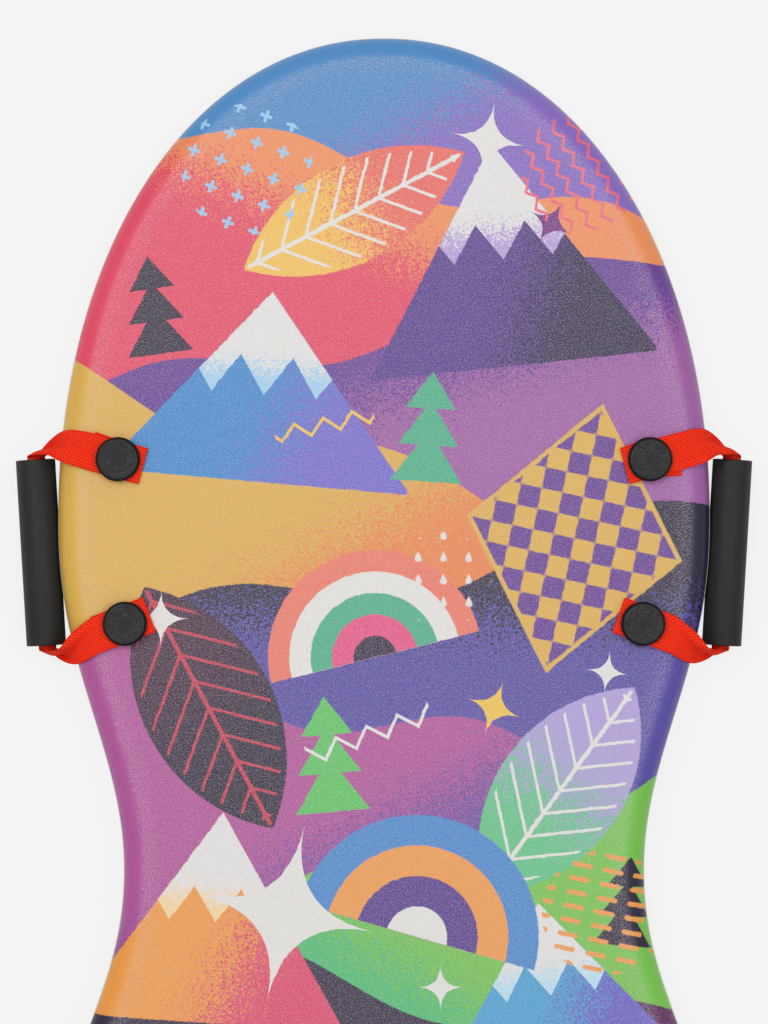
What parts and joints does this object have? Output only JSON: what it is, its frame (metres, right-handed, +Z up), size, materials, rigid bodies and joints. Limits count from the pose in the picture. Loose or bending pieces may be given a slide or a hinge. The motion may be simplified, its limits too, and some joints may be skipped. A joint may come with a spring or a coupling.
{
  "type": "foam belly sled with two side handles",
  "caption": "Foam belly sled with an hourglass outline, printed top skin, slick base and two swinging webbing handles with tube grips, held on by round plastic rivets.",
  "frame": {"origin": "on the ground under the middle of the board's bounding box", "axes": "+Y runs towards the nose, +X to the right side of the board seen from above with the nose ahead, +Z up from the slick base to the printed top"},
  "size_m": [0.4994, 0.92, 0.0468],
  "materials": {
    "foam": "closed-cell foam",
    "printed_skin": "printed film, satin, finely embossed",
    "slick_base": "smooth slick polyethylene",
    "rivet_plastic": "moulded, matte",
    "webbing": "woven polypropylene webbing",
    "grip_rubber": "matte tube"
  },
  "bodies": {
    "board": {"foam_core": "foam", "print_sheet": "printed_skin", "slick_base": "slick_base", "rivet_cap_left_front": "rivet_plastic", "rivet_cap_left_rear": "rivet_plastic", "rivet_cap_right_front": "rivet_plastic", "rivet_cap_right_rear": "rivet_plastic", "rivet_base_left_front": "rivet_plastic", "rivet_base_left_rear": "rivet_plastic", "rivet_base_right_front": "rivet_plastic", "rivet_base_right_rear": "rivet_plastic", "strap_end_left_front": "webbing", "strap_end_left_rear": "webbing", "strap_end_right_front": "webbing", "strap_end_right_rear": "webbing"},
    "left_handle": {"strap_loop_left": "webbing"},
    "right_handle": {"strap_loop_right": "webbing"},
    "left_grip": {"grip_left": "grip_rubber"},
    "right_grip": {"grip_right": "grip_rubber"}
  },
  "joints": [
    {"name": "left_handle_swing", "type": "hinge", "parent": "board", "child": "left_handle", "pos_m": [-0.19602, 0.17426, 0.04065], "axis": [-0.0422, 0.9991, 0], "range_deg": [0, 105]},
    {"name": "left_grip_spin", "type": "hinge", "parent": "left_handle", "child": "left_grip", "pos_m": [-0.23267, 0.11215, 0.0155], "axis": [-0.0593, 0.9982, 0], "continuous": true},
    {"name": "right_handle_swing", "type": "hinge", "parent": "board", "child": "right_handle", "pos_m": [0.19602, 0.17426, 0.04065], "axis": [-0.0422, -0.9991, 0], "range_deg": [0, 105]},
    {"name": "right_grip_spin", "type": "hinge", "parent": "right_handle", "child": "right_grip", "pos_m": [0.23267, 0.11215, 0.0155], "axis": [-0.0593, -0.9982, 0], "continuous": true}
  ]
}
